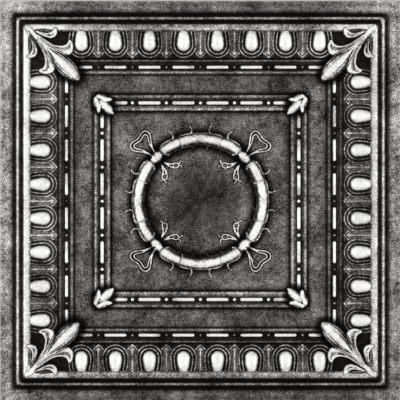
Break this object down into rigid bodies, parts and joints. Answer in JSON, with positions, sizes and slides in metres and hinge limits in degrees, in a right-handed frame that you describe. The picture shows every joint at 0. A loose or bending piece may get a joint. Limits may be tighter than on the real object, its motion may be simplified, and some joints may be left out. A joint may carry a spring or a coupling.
{
  "type": "polystyrene ceiling tile",
  "caption": "Square embossed foam ceiling tile with an egg-and-dart border, corner leaves, bead rows and a ribboned wreath in the middle, glued up by its back.",
  "frame": {"origin": "middle of the tile's back plane, which is its lowest plane as it lies face up", "axes": "+Z out of the ornamented face, X and Y along the tile's sides"},
  "size_m": [0.5, 0.5, 0.0103],
  "materials": {
    "painted_foam": "hand-painted antique silver over black, satin on the raised ornament"
  },
  "bodies": {
    "root": {"ceiling_tile": "painted_foam"}
  },
  "joints": []
}
